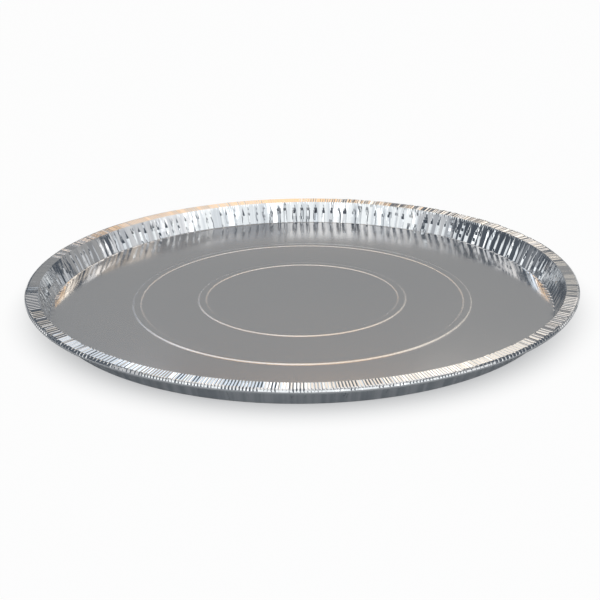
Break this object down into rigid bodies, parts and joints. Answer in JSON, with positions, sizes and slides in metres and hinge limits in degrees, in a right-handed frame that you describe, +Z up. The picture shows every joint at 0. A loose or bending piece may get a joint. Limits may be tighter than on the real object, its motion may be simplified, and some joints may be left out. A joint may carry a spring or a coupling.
{
  "type": "foil drip pan",
  "caption": "Round shallow disposable pan pressed from aluminium foil, with raised ring beads in its flat base, a pleated flared wall, a narrow flange and a rolled rim.",
  "frame": {"origin": "centre of the underside of the flat base", "axes": "+Z up along the pan's axis, out of its open top; X and Y lie in the base and are alike"},
  "size_m": [0.311, 0.311, 0.0143],
  "materials": {
    "foil": "satin"
  },
  "bodies": {
    "root": {"foil_pan": "foil"}
  },
  "joints": []
}
